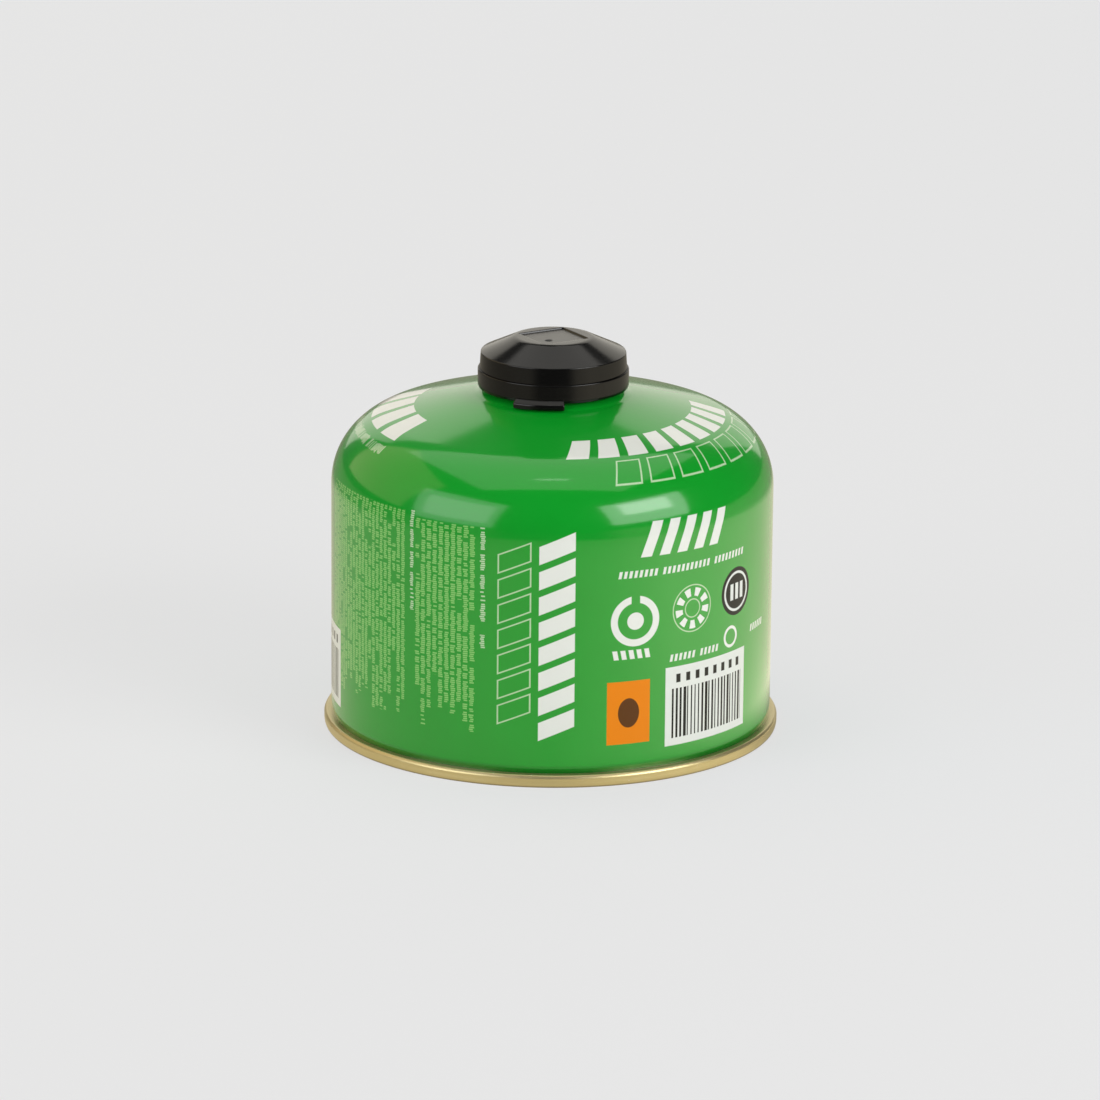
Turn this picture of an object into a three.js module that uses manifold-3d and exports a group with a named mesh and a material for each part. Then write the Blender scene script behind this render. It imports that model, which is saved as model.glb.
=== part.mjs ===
// A 230 g screw-valve gas canister: a drawn steel can with a seamed, hollowed bottom,
// the crimped valve with its threaded turret, and the push-fit plastic cap that covers it.
// Millimetres, +Z up. The origin is the middle of the seam's foot, on the surface it stands on.
import * as THREE from "three";
import { mergeVertices } from "three/addons/utils/BufferGeometryUtils.js";
import Module from "manifold-3d";

const wasm = await Module();
wasm.setup();

// How finely round things are turned
const canSides = 64;
const capSides = 60;
const valveSides = 40;
const wireSides = 6;
const dimpleSides = 16;
const domeSteps = 8;
const shoulderSteps = 8;
const crownSteps = 4;
const curlSteps = 7;
const tinyGap = 0.1; // between pieces that touch along a curved face
const runningGap = 0.3; // between pieces that slide past each other

// The can's bottom seam and wall
const seamRadius = 55;
const seamHeight = 3;
const seamThickness = 1.5;
const seamRounding = 0.3;
const wallRadius = 53.25;
const wallHeight = 59.8; // where the straight wall turns into the shoulder
const shoulderRadius = 17.75;
const shoulderTurn = 1.31; // radians of arc in the shoulder
const crownRise = 5.15; // from the shoulder's end up to the neck
const neckRun = 4.75; // from the curl's centre out to the crown's edge
const neckRise = 2.6; // from the crown's edge up to the curl's centre
const bottomRecess = 4.4; // how far the bottom end is countersunk inside its seam
const bottomRise = 5.8; // further rise of the bottom's dome at its middle
const chuckTaper = 1.1; // how far the countersink's wall leans in

// The rolled curl round the can's mouth, and the valve cup crimped over it
const curlCentreRadius = 14.05;
const curlRadius = 1.2;
const curlStart = -Math.PI / 4; // where the neck runs into the curl
const gasketThickness = 0.35;
const sheet = 0.45; // the cup's steel
const cupRecessDepth = 5; // from the crimped rim's top to the cup's floor
const pedestalRadius = 7.2;
const pedestalHeight = 1.6;
const turretRadius = 5.55; // outside the 7/16 inch thread
const turretHeight = 9; // above the cup's floor
const turretMouthRadius = 2;
const turretEdge = 0.5; // the chamfer round the turret's top

// The valve inside the turret
const sealThickness = 1.6;
const sealHoleRadius = 1.4;
const housingWall = 1.2;
const housingLength = 12.4;
const housingFloor = 1.2;
const inletRadius = 1;
const stemHeadThickness = 1.5;
const stemShankRadius = 1.3;
const stemShankLength = 5.4;
const stemTipRadius = 0.9;
const wireRadius = 0.3;
const springTurns = 5.5;
const springSteps = 62;
const pocketClearance = 2.4; // room round the valve's housing inside the can
const pocketDepth = 4; // below the housing

// The cap
const skirtDrop = 0.9; // the skirt's foot lies this far below the curl's centre
const skirtHeight = 4.4; // up to the step
const bandHeight = 4; // from the step up to the shoulder
const slopeRise = 3.77; // from the shoulder up to the flat top
const stepIn = 0.45;
const bandTaper = 0.25;
const capTopRadius = 9.3;
const capWall = 1.4;
const capEdge = 0.35; // small roundings of the cap's edges
const beadSize = 0.2; // the holding bead inside the skirt
const beadHeight = 0.9;
const ringWall = 0.8; // the ring inside the cap that stands on the crimped rim
const panelSide = 12.2; // the square sunk panel on the cap's top
const panelDepth = 0.4;
const panelTurn = 0.54; // radians
const dimpleRadius = 0.75;
const dimpleDepth = 0.3;
const dimpleX = -1.2;
const dimpleY = -3.1;
const tabWidth = 12.6; // the lift tab below the skirt
const tabReach = 1.5;
const tabDrop = 1.35;
const tabLip = 1; // how wide the tab is along its foot
const tabRoot = 0.9; // how far up the skirt it joins
const tabTurn = -1.754; // radians about +Z from +X, towards the photograph's camera

// Heights and radii that follow from the sizes above
const rimArcSteps = 7;
const rimArcStart = -Math.PI / 12;
const rimArcTurn = (7 * Math.PI) / 6;
const rimStep = rimArcTurn / rimArcSteps;
const shoulderTop = wallHeight + shoulderRadius * Math.sin(shoulderTurn);
const crownHeight = shoulderTop + crownRise;
const crownRadius = curlCentreRadius + neckRun;
const curlHeight = crownHeight + neckRise; // of the curl's centre
const cupInner = curlRadius + 2 * tinyGap + gasketThickness;
const cupMiddle = cupInner + sheet / 2;
const cupCorner = cupMiddle / Math.cos(rimStep / 2); // so that the rim's flats lie at cupMiddle
const rimTop = curlHeight + cupMiddle + sheet / 2;
const cupFloor = rimTop - cupRecessDepth; // the floor's upper face
const turretTop = cupFloor + turretHeight;
const turretInner = turretRadius - sheet;
const housingRadius = turretInner - tinyGap;
const housingBore = housingRadius - housingWall;
const sealTop = turretTop - sheet - tinyGap;
const sealFoot = sealTop - sealThickness;
const housingFoot = sealFoot - housingLength;
const stemHeadRadius = housingBore - runningGap;
const springFoot = housingFoot + housingFloor;
const springHead = sealFoot - stemHeadThickness;
const cupOuter = curlCentreRadius + cupMiddle + sheet / 2;
const capRimRadius = cupOuter + runningGap + beadSize + capWall;
const capBandRadius = capRimRadius - stepIn;
const capShoulderRadius = capBandRadius - bandTaper;
const capRimHeight = curlHeight - skirtDrop;
const capStepHeight = capRimHeight + skirtHeight;
const capShoulderHeight = capStepHeight + bandHeight;
const capTop = capShoulderHeight + slopeRise;

const at = (r, z) => new THREE.Vector2(r, z);

// Points of an arc in a profile, from one angle to another, both in radians.
function arc(r, z, radius, from, to, steps) {
  return Array.from({ length: steps + 1 }, (_, i) => {
    const a = from + ((to - from) * i) / steps;
    return at(r + radius * Math.cos(a), z + radius * Math.sin(a));
  });
}

// A profile in radius and height, turned about +Z. It runs anticlockwise round its own area.
function turned(profile, sides) {
  return new THREE.LatheGeometry(profile, sides).rotateX(Math.PI / 2);
}

// The closed outline of a metal sheet of even thickness that follows a line.
function sheetOutline(line, thickness) {
  const side = (sign) =>
    line.map((p, i) => {
      const before = line[Math.max(i - 1, 0)];
      const after = line[Math.min(i + 1, line.length - 1)];
      const a = p.clone().sub(before).normalize();
      const b = after.clone().sub(p).normalize();
      const along = a.lengthSq() && b.lengthSq() ? a.clone().add(b).normalize() : a.add(b);
      const bend = a.lengthSq() && b.lengthSq() ? Math.max(along.dot(b), 0.5) : 1;
      const offset = (sign * thickness) / 2 / bend;
      return at(p.x - along.y * offset, p.y + along.x * offset);
    });
  const outline = [...side(-1), ...side(1).reverse()];
  return [...outline, outline[0].clone()];
}

// A geometry as a solid for joins and cuts, and back again.
function toSolid(geometry) {
  const plain = new THREE.BufferGeometry();
  const source = geometry.index ? geometry.toNonIndexed() : geometry;
  plain.setAttribute("position", source.getAttribute("position"));
  const merged = mergeVertices(plain, 1e-4);
  const mesh = new wasm.Mesh({
    numProp: 3,
    vertProperties: merged.attributes.position.array,
    triVerts: new Uint32Array(merged.index.array),
  });
  return new wasm.Manifold(mesh);
}

function fromSolid(solid) {
  const mesh = solid.getMesh();
  const geometry = new THREE.BufferGeometry();
  geometry.setAttribute("position", new THREE.BufferAttribute(mesh.vertProperties, 3));
  geometry.setIndex(new THREE.BufferAttribute(mesh.triVerts, 1));
  geometry.computeVertexNormals();
  return geometry;
}

const paint = (color, roughness, metalness) =>
  new THREE.MeshStandardMaterial({ color, roughness, metalness });
const greenLacquer = paint(0x2f9a2e, 0.22, 0.3);
const goldSteel = paint(0xb9a66a, 0.35, 0.8);
const brightSteel = paint(0xb8b9b6, 0.3, 0.9);
const blackRubber = paint(0x1b1b1b, 0.8, 0);
const whitePlastic = paint(0xd9d7cf, 0.5, 0);
const blackPlastic = paint(0x1c1c1d, 0.3, 0);

const canister = new THREE.Group();

function add(name, geometry, material) {
  const mesh = new THREE.Mesh(geometry, material);
  mesh.name = name;
  canister.add(mesh);
}

// The sealed can: bottom, seam, wall, shoulder, crown and curl, with a pocket for the valve.
function canProfile() {
  const seamFoot = seamRadius - seamThickness;
  const bottomRim = seamFoot - chuckTaper;
  const dome = Array.from({ length: domeSteps + 1 }, (_, i) => {
    const share = i / domeSteps;
    return at(bottomRim * share, bottomRecess + bottomRise * (1 - share * share));
  });
  const seam = [
    at(seamFoot, seamRounding),
    at(seamFoot + seamRounding, 0),
    at(seamRadius - seamRounding, 0),
    at(seamRadius, seamRounding),
    at(seamRadius, seamHeight - seamRounding),
    at(seamRadius - seamRounding, seamHeight),
    at(wallRadius, seamHeight),
  ];
  const shoulderCentre = wallRadius - shoulderRadius;
  const shoulder = arc(shoulderCentre, wallHeight, shoulderRadius, 0, shoulderTurn, shoulderSteps);
  const shoulderEnd = shoulder[shoulder.length - 1];
  const run = shoulderEnd.x - crownRadius;
  const startSlope = 1 / Math.tan(shoulderTurn);
  const rise = crownHeight - shoulderEnd.y;
  const crown = Array.from({ length: crownSteps }, (_, i) => {
    const s = (i + 1) / crownSteps;
    const bow = (startSlope * run - rise) * s * (1 - s);
    return at(shoulderEnd.x - run * s, shoulderEnd.y + rise * s + bow);
  });
  const curl = arc(curlCentreRadius, curlHeight, curlRadius, curlStart, Math.PI, curlSteps);
  const housingRoom = housingRadius + pocketClearance;
  const shelf = cupFloor - sheet - tinyGap;
  const pocketFloor = housingFoot - pocketDepth;
  const mouth = curlCentreRadius - curlRadius;
  return [
    ...dome,
    ...seam,
    ...shoulder,
    ...crown,
    ...curl,
    at(mouth, shelf),
    at(housingRoom, shelf),
    at(housingRoom, pocketFloor),
    at(0, pocketFloor),
  ];
}
add("can", turned(canProfile(), canSides), greenLacquer);

// The soft ring squeezed between the can's curl and the cup's channel.
function cupGasketOutline() {
  const inner = curlRadius + tinyGap;
  const outer = inner + gasketThickness;
  const over = arc(curlCentreRadius, curlHeight, outer, 0, Math.PI, curlSteps);
  const under = arc(curlCentreRadius, curlHeight, inner, Math.PI, 0, curlSteps);
  return [...over, ...under, over[0].clone()];
}
add("cup_gasket", turned(cupGasketOutline(), valveSides), blackRubber);

// The valve cup: crimped rim, inner wall, floor, pedestal and turret, pressed from one sheet.
function cupLine() {
  const rim = arc(
    curlCentreRadius,
    curlHeight,
    cupCorner,
    rimArcStart,
    rimArcStart + rimArcTurn,
    rimArcSteps,
  );
  const wall = curlCentreRadius - cupMiddle;
  const floor = cupFloor - sheet / 2;
  const turret = turretRadius - sheet / 2;
  const top = turretTop - sheet / 2;
  return [
    ...rim,
    at(wall, floor + turretEdge),
    at(wall - turretEdge, floor),
    at(pedestalRadius, floor),
    at(turret + turretEdge / 2, floor + pedestalHeight),
    at(turret, floor + pedestalHeight + turretEdge),
    at(turret, top - turretEdge),
    at(turret - turretEdge, top),
    at(turretMouthRadius, top),
  ];
}
add("valve_cup", turned(sheetOutline(cupLine(), sheet), valveSides), goldSteel);

// The rubber seal under the turret's lip, which the stove's pin passes through.
const ring = (inner, outer, low, high) => [
  at(inner, low),
  at(outer, low),
  at(outer, high),
  at(inner, high),
  at(inner, low),
];
const sealRadius = turretInner - turretEdge;
add(
  "turret_seal",
  turned(ring(sealHoleRadius, sealRadius, sealFoot, sealTop), valveSides),
  blackRubber,
);

// The plastic housing that hangs in the can under the turret, open at the top.
function housingProfile() {
  const top = sealFoot - tinyGap;
  return [
    at(inletRadius, housingFoot),
    at(housingRadius, housingFoot),
    at(housingRadius, top),
    at(housingBore, top),
    at(housingBore, springFoot),
    at(inletRadius, springFoot),
    at(inletRadius, housingFoot),
  ];
}
add("valve_housing", turned(housingProfile(), valveSides), whitePlastic);

// The stem that the stove pushes down: a head against the seal and a shank inside the spring.
function stemProfile() {
  const shankFoot = springHead - stemShankLength;
  return [
    at(0, shankFoot),
    at(stemTipRadius, shankFoot),
    at(stemShankRadius, shankFoot + stemShankRadius - stemTipRadius),
    at(stemShankRadius, springHead),
    at(stemHeadRadius, springHead),
    at(stemHeadRadius, sealFoot - tinyGap),
    at(0, sealFoot - tinyGap),
  ];
}
add("valve_stem", turned(stemProfile(), valveSides), whitePlastic);

// The coil spring between the housing's floor and the stem's head.
class SpringPath extends THREE.Curve {
  getPoint(t, target = new THREE.Vector3()) {
    const low = springFoot + wireRadius + tinyGap;
    const high = springHead - wireRadius - tinyGap;
    const coil = (stemShankRadius + housingBore) / 2;
    const a = 2 * Math.PI * springTurns * t;
    return target.set(coil * Math.cos(a), coil * Math.sin(a), low + (high - low) * t);
  }
}
const wireSection = new THREE.Shape(
  Array.from({ length: wireSides }, (_, i) => {
    const a = (2 * Math.PI * i) / wireSides;
    return at(wireRadius * Math.cos(a), wireRadius * Math.sin(a));
  }),
);
const spring = new THREE.ExtrudeGeometry(wireSection, {
  steps: springSteps,
  extrudePath: new SpringPath(),
});
add("valve_spring", spring, brightSteel);

// The cap's turned form: skirt, step, sloping top, and inside it the ring that stands on the rim.
function capProfile() {
  const skirtInner = capRimRadius - capWall;
  const ceiling = capTop - capWall;
  const innerShoulder = capShoulderRadius - capWall;
  const slope = (capTop - capShoulderHeight) / (capShoulderRadius - capTopRadius);
  const wallRise = capWall / Math.cos(Math.atan(slope)); // the sloping wall, measured straight up
  const coneInner = (r) => capShoulderHeight + slope * (capShoulderRadius - r) - wallRise;
  const ringOuter = curlCentreRadius + ringWall / 2;
  const ringInner = curlCentreRadius - ringWall / 2;
  const flatEnd = capShoulderRadius - (ceiling + wallRise - capShoulderHeight) / slope;
  return [
    at(0, ceiling),
    at(flatEnd, ceiling),
    at(ringInner, coneInner(ringInner)),
    at(ringInner, rimTop + tinyGap),
    at(ringOuter, rimTop + tinyGap),
    at(ringOuter, coneInner(ringOuter)),
    at(innerShoulder, coneInner(innerShoulder)),
    at(skirtInner, capStepHeight),
    at(skirtInner, capRimHeight + 2 * beadHeight),
    at(skirtInner - beadSize, capRimHeight + beadHeight),
    at(skirtInner, capRimHeight),
    at(capRimRadius - capEdge, capRimHeight),
    at(capRimRadius, capRimHeight + capEdge),
    at(capRimRadius, capStepHeight - capEdge),
    at(capRimRadius - capEdge / 2, capStepHeight),
    at(capBandRadius, capStepHeight),
    at(capShoulderRadius, capShoulderHeight - capEdge),
    at(capShoulderRadius - capEdge, capShoulderHeight + capEdge * slope),
    at(capTopRadius + capEdge, capTop - capEdge * slope),
    at(capTopRadius - capEdge, capTop),
    at(0, capTop),
  ];
}

// The lift tab: a lip below the skirt that leans outwards, cut from a turned ring.
function liftTab() {
  const outer = capRimRadius + tabReach;
  const foot = capRimHeight - tabDrop;
  const root = capRimHeight + tabRoot;
  const section = [
    at(capRimRadius - capWall / 2, capRimHeight),
    at(outer - tabLip, foot),
    at(outer, foot),
    at(outer, capRimHeight),
    at(capRimRadius, root),
    at(capRimRadius - capWall / 2, root),
    at(capRimRadius - capWall / 2, capRimHeight),
  ];
  const slice = new THREE.BoxGeometry(outer, tabWidth, 2 * (tabDrop + tabRoot))
    .translate(outer / 2 + tabLip, 0, capRimHeight)
    .rotateZ(tabTurn);
  return toSolid(turned(section, capSides)).intersect(toSolid(slice));
}

const panel = new THREE.BoxGeometry(panelSide, panelSide, 2 * panelDepth)
  .rotateZ(panelTurn)
  .translate(0, 0, capTop);
const dimple = new THREE.CylinderGeometry(dimpleRadius, dimpleRadius, 2 * dimpleDepth, dimpleSides)
  .rotateX(Math.PI / 2)
  .translate(dimpleX, dimpleY, capTop - panelDepth);
const cap = toSolid(turned(capProfile(), capSides))
  .add(liftTab())
  .subtract(toSolid(panel))
  .subtract(toSolid(dimple));
add("cap", fromSolid(cap), blackPlastic);

export default canister;
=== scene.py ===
import math

import bpy
import numpy as np
from mathutils import Matrix, Vector


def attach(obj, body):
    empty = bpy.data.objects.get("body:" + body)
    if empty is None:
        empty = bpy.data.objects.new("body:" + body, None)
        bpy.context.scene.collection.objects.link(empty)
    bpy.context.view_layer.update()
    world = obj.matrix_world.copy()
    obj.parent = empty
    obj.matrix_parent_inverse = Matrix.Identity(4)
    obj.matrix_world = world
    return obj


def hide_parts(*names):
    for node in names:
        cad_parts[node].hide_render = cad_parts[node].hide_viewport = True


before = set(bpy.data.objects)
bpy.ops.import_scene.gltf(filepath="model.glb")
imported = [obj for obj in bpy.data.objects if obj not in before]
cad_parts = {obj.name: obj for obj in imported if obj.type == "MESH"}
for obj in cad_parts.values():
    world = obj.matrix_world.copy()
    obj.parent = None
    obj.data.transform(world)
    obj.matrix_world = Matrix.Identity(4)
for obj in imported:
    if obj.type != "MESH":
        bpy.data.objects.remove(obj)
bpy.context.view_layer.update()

# Camping gas canister: green lacquered can, gold seamed foot, screw valve, black cap.
# Dictionaries hold millimetres unless a name says otherwise. Meshes are made in metres.
mm = 0.001
print("frame loaded with", len(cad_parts), "nodes")


# camera, first of all

cameraLook = {
    "target": (0.0, 0.0, 0.04258),  # metres
    "distance": 1.6,  # metres
    "elevation": 0.2799,  # radians above the table
    "roll": 0.0086,  # radians
    "lens": 216.69,
    "sensor": 36.0,
    "shiftX": -0.001655,
    "shiftY": 0.0,
}


def placeCamera(look):
    data = bpy.data.cameras.new("tableCamera")
    data.lens = look["lens"]
    data.sensor_width = look["sensor"]
    data.shift_x = look["shiftX"]
    data.shift_y = look["shiftY"]
    data.clip_start, data.clip_end = 0.05, 30
    camera = bpy.data.objects.new("tableCamera", data)
    bpy.context.collection.objects.link(camera)
    target = Vector(look["target"])
    back = Vector((0, -math.cos(look["elevation"]), math.sin(look["elevation"])))
    turn = (-back).to_track_quat("-Z", "Y").to_matrix().to_4x4()
    camera.matrix_world = (
        Matrix.Translation(target + back * look["distance"]) @ turn @ Matrix.Rotation(look["roll"], 4, "Z")
    )
    bpy.context.scene.camera = camera


placeCamera(cameraLook)
bpy.context.scene.view_settings.view_transform = "Standard"
print("camera placed")


# shapes as arrays: every profile is an array of (radius, height) rows that runs anticlockwise round its metal

def softCorners(corners, cuts, steps=6):
    # Each corner becomes a quadratic curve between two points that lie "cut" before and after it:
    # (1-t)^2 before + 2t(1-t) corner + t^2 after, for all corners at once.
    corners = np.asarray(corners, float)
    cuts = np.asarray(cuts, float)[:, None]
    toPrev = np.roll(corners, 1, axis=0) - corners
    toNext = np.roll(corners, -1, axis=0) - corners
    toPrev[0], toNext[-1] = 0, 0
    unit = lambda v: v / np.maximum(np.linalg.norm(v, axis=1, keepdims=True), 1e-9)
    before = corners + unit(toPrev) * cuts
    after = corners + unit(toNext) * cuts
    t = np.linspace(0, 1, steps)[None, :, None]
    curve = (1 - t) ** 2 * before[:, None] + 2 * t * (1 - t) * corners[:, None] + t**2 * after[:, None]
    line = curve.reshape(-1, 2)
    keep = np.r_[True, np.linalg.norm(np.diff(line, axis=0), axis=1) > 1e-5]
    return line[keep]


def arcOf(centre, radius, start, end, steps):
    # centre plus radius times (cosine, sine) of an angle that runs from start to end
    a = np.linspace(start, end, steps)
    return np.stack([centre[0] + radius * np.cos(a), centre[1] + radius * np.sin(a)], axis=1)


def noLongSteps(line, longest):
    # the same line with extra points, at even lengths along it, so that no piece is longer than "longest"
    along = np.r_[0, np.cumsum(np.linalg.norm(np.diff(line, axis=0), axis=1))]
    wanted = np.union1d(along, np.arange(0, along[-1], longest))
    wanted = wanted[np.r_[True, np.diff(wanted) > 1e-4]]
    return np.stack([np.interp(wanted, along, line[:, 0]), np.interp(wanted, along, line[:, 1])], axis=1)


def sheetOutline(line, thickness):
    # the line moved half a thickness to either side along its normals, joined into one closed loop
    step = np.gradient(line, axis=0)
    step /= np.linalg.norm(step, axis=1, keepdims=True)
    side = np.stack([step[:, 1], -step[:, 0]], axis=1) * thickness / 2
    return np.concatenate([line + side, (line - side)[::-1]])


def turnedPoints(profile, sides, radiusOffset=None):
    # point(i, j) = radius_i at angle j round +Z; radiusOffset(angle, radius, height) is added to the radius
    angle = np.linspace(0, 2 * np.pi, sides, endpoint=False)[None, :]
    radius = np.repeat(profile[:, :1], sides, axis=1)
    height = np.repeat(profile[:, 1:], sides, axis=1)
    if radiusOffset is not None:
        radius = radius + radiusOffset(angle, radius, height)
    return np.stack([radius * np.cos(angle), radius * np.sin(angle), height], axis=2)


def gridFaces(points, closedLine=False, poles=False):
    # One quad for each cell of the grid, wrapping round its columns. A closed line wraps round its rows too,
    # and poles puts a fan of triangles on a single middle point at either end.
    rows, columns = points.shape[:2]
    index = np.arange(rows * columns).reshape(rows, columns)
    if closedLine:
        index = np.concatenate([index, index[:1]])
    after = np.roll(index, -1, axis=1)
    faces = np.stack([index[:-1], after[:-1], after[1:], index[1:]], axis=2).reshape(-1, 4).tolist()
    vertices = points.reshape(-1, 3)
    if poles:
        low, high = len(vertices), len(vertices) + 1
        ends = [[0, 0, points[0, 0, 2]], [0, 0, points[-1, 0, 2]]]
        vertices = np.concatenate([vertices, ends])
        first, last = index[0], index[-1]
        faces += np.stack([np.full(columns, low), np.roll(first, -1), first], axis=1).tolist()
        faces += np.stack([last, np.roll(last, -1), np.full(columns, high)], axis=1).tolist()
    return vertices, faces


def makePiece(name, parts, body, stands, sharpAngle=38):
    # parts are (vertices in mm, faces) pairs that become one mesh in metres
    vertices, faces, count = [], [], 0
    for partVertices, partFaces in parts:
        vertices.append(partVertices)
        faces += [[corner + count for corner in face] for face in partFaces]
        count += len(partVertices)
    mesh = bpy.data.meshes.new(name)
    mesh.from_pydata((np.concatenate(vertices) * mm).tolist(), [], faces)
    mesh.shade_smooth()
    mesh.set_sharp_from_angle(angle=math.radians(sharpAngle))
    mesh.validate()
    piece = bpy.data.objects.new(name, mesh)
    bpy.context.collection.objects.link(piece)
    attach(piece, body)
    if stands:
        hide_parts(*stands)
    print(name, "made with", len(faces), "faces")
    return piece


# the can: one drawn green shell and the gold bottom end that is seamed to its foot

shellLook = {
    "sides": 224,
    "wallRadius": 53.25,
    "neckedRadius": 52.95,  # where the wall tucks in above the seam
    "neckedHeight": 2.75,
    "straightFrom": 4.6,
    "wallHeight": 59.8,
    "shoulderRadius": 17.75,
    "shoulderTurn": 1.31,  # radians
    "crownRise": 5.15,
    "crownRadius": 18.8,
    "curlCentre": (14.05, 84.7),
    "curlRadius": 1.2,
    "shelfHeight": 81.35,
    "pocketRadius": 7.4,
    "pocketFloor": 72.35,
    "insideFloor": 12.5,
}


def shellProfile(look):
    # wall, a shoulder that is a quarter of a circle nearly, then a crown whose height is
    # start + rise s + (first slope x run - rise) s (1 - s), then the neck, the curl and the valve's pocket
    foot = softCorners(
        [(0.4, look["insideFloor"]), (52.0, look["insideFloor"]), (52.0, look["neckedHeight"]),
         (look["neckedRadius"], look["neckedHeight"]), (look["neckedRadius"], look["neckedHeight"] + 0.7),
         (look["wallRadius"], look["straightFrom"]), (look["wallRadius"], look["wallHeight"])],
        [0, 0, 0, 0, 0.3, 0.8, 0],
    )
    centre = (look["wallRadius"] - look["shoulderRadius"], look["wallHeight"])
    shoulder = arcOf(centre, look["shoulderRadius"], 0, look["shoulderTurn"], 42)[1:]
    end = shoulder[-1]
    run = end[0] - look["crownRadius"]
    firstSlope = 1 / math.tan(look["shoulderTurn"])
    s = np.linspace(0, 1, 26)[1:]
    rise = look["crownRise"]
    crown = np.stack([end[0] - run * s, end[1] + rise * s + (firstSlope * run - rise) * s * (1 - s)], axis=1)
    curl = arcOf(look["curlCentre"], look["curlRadius"], -math.pi / 4, math.pi, 18)
    mouth = look["curlCentre"][0] - look["curlRadius"]
    neck = softCorners([crown[-2], crown[-1], curl[0]], [0, 0.5, 0])[1:-1]
    pocket = np.array([(mouth, look["shelfHeight"]), (look["pocketRadius"], look["shelfHeight"]),
                       (look["pocketRadius"], look["pocketFloor"]), (0.4, look["pocketFloor"])])
    return noLongSteps(np.concatenate([foot, shoulder, crown[:-1], neck, curl, pocket]), 2.4)


shellPoints = turnedPoints(shellProfile(shellLook), shellLook["sides"])
canShell = makePiece("canShell", [gridFaces(shellPoints, poles=True)], "canister", ["can"])

bottomLook = {
    "sides": 224,
    "recess": 4.4,
    "rise": 5.8,
    "recessRadius": 52.4,
    "chuckRadius": 53.5,
    "seamRadius": 55.0,
    "seamHeight": 3.0,
    "metal": 0.55,
    "beads": ((40.0, 1.6, 0.35), (27.0, 1.4, 0.3)),  # radius, half width and depth of each stamped ring
}


def bottomProfile(look):
    # the dome is recess + rise (1 - share^2), and its rings add depth x (1 - ((r - middle) / half)^2)^2
    share = np.linspace(0.008, 1, 70)
    radius = look["recessRadius"] * share
    height = look["recess"] + look["rise"] * (1 - share**2)
    for middle, half, depth in look["beads"]:
        height = height + depth * np.clip(1 - ((radius - middle) / half) ** 2, 0, 1) ** 2
    under = np.stack([radius, height], axis=1)
    big, high, inner = look["seamRadius"], look["seamHeight"], look["chuckRadius"]
    seam = softCorners(
        [(look["recessRadius"], look["recess"]), (inner, 0.5), (inner + 0.45, 0), (big - 0.25, 0),
         (big, 0.75), (big - 0.06, 1.7), (big, 2.3), (big - 0.5, high), (52.7, high), (51.4, 5.4)],
        [0, 0.35, 0.2, 0.22, 0.4, 0.5, 0.35, 0.32, 0, 0],
    )[1:]
    above = np.stack([radius[:-3][::-1], height[:-3][::-1] + look["metal"]], axis=1)
    return np.concatenate([under, seam, above])


bottomPoints = turnedPoints(bottomProfile(bottomLook), bottomLook["sides"])
bottomEnd = makePiece("bottomEnd", [gridFaces(bottomPoints, poles=True)], "canister", ["can"])


# the valve: crimped cup with its rolled thread, the seal in its mouth and the stem under that

cupLook = {
    "sides": 160,
    "sheet": 0.45,
    "curlCentre": shellLook["curlCentre"],
    "rimRadius": 1.975,
    "floor": 81.675,  # middle of the sheet
    "pedestalRadius": 7.2,
    "pedestalHeight": 1.6,
    "turretRadius": 5.325,
    "top": 90.675,
    "mouthRadius": 2.0,
    "threadPitch": 0.907,
    "threadDepth": 0.36,
    "threadFrom": 84.2,
    "threadTo": 90.1,
}


def cupMiddleLine(look):
    centre, reach = look["curlCentre"], look["rimRadius"]
    rim = arcOf(centre, reach, -math.pi / 12, math.pi, 34)
    wall = centre[0] - reach
    turret = look["turretRadius"]
    rest = softCorners(
        [(wall, centre[1]), (wall, look["floor"]), (look["pedestalRadius"], look["floor"]),
         (turret + 0.15, look["floor"] + look["pedestalHeight"]), (turret, look["floor"] + 2.2),
         (turret, look["top"]), (look["mouthRadius"], look["top"])],
        [0, 0.9, 0.6, 0.45, 0.2, 0.5, 0],
    )[1:]
    return noLongSteps(np.concatenate([rim, rest]), 0.11)


def rolledThread(angle, radius, height):
    # a rounded groove, depth x (0.5 + 0.5 cos(2 pi (height / pitch - turns))), faded in and out at its ends,
    # and only on the turret's outside
    look = cupLook
    turns = angle / (2 * np.pi)
    groove = 0.5 + 0.5 * np.cos(2 * np.pi * (height / look["threadPitch"] - turns))
    fade = np.clip((height - look["threadFrom"]) / 0.5, 0, 1)
    fade = fade * np.clip((look["threadTo"] - height) / 0.4, 0, 1)
    beyond = radius - look["turretRadius"]
    outside = np.clip((beyond - 0.2) / 0.02, 0, 1) * (beyond < 0.4)
    return -look["threadDepth"] * groove * fade * outside


cupOutline = sheetOutline(cupMiddleLine(cupLook), cupLook["sheet"])
cupPoints = turnedPoints(cupOutline, cupLook["sides"], rolledThread)
threadedCup = makePiece(
    "threadedCup", [gridFaces(cupPoints, closedLine=True)], "canister", ["valve_cup"]
)

sealLook = {"sides": 96, "hole": 1.4, "outer": 4.6, "low": 88.75, "high": 90.35, "rounding": 0.2}


def sealProfile(look):
    # a flat ring whose line starts and ends at the middle of its hole's wall
    hole, outer, low, high, soft = (look[k] for k in ("hole", "outer", "low", "high", "rounding"))
    middle = (low + high) / 2
    return softCorners(
        [(hole, middle), (hole, low), (outer, low), (outer, high), (hole, high), (hole, middle + 0.01)],
        [0, soft, soft, soft, soft * 1.6, 0],
    )


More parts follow.
